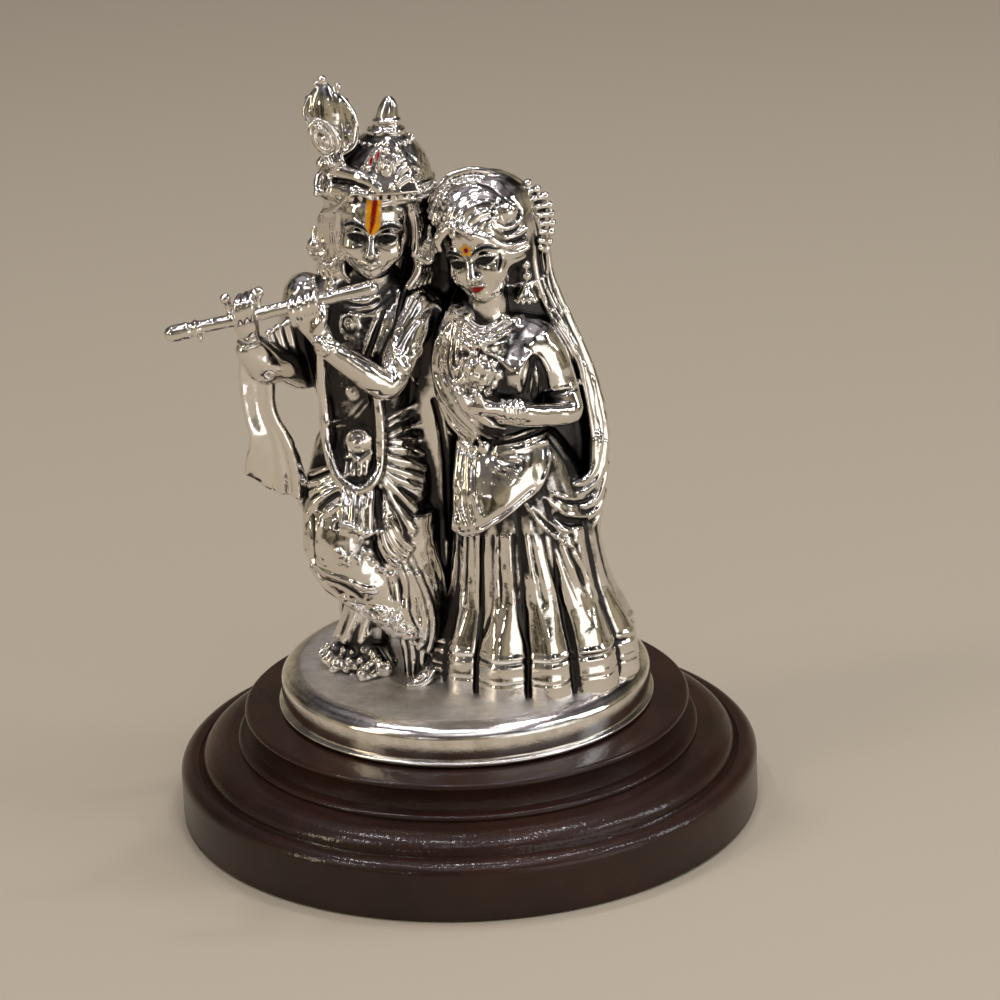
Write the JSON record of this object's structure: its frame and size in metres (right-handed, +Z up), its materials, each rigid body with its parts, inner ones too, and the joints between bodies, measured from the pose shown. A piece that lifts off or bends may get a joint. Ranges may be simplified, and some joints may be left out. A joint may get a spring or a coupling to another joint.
{
  "type": "radha krishna statue",
  "caption": "Silver-plated devotional pair, a flute player and his companion with a flower, on a round base over a turned dark wooden plinth.",
  "frame": {"origin": "centre of the plinth's underside", "axes": "+Z up along the height, the figures face -Y, +X is the side on which the second figure stands"},
  "size_m": [0.1, 0.1, 0.1286],
  "materials": {
    "antique_silver": "bright silver plating with black patina in the creases",
    "varnished_wood": "dark red-brown stain under glossy pebbled varnish"
  },
  "bodies": {
    "root": {"silver_figures": "antique_silver", "turned_plinth": "varnished_wood"}
  },
  "joints": []
}
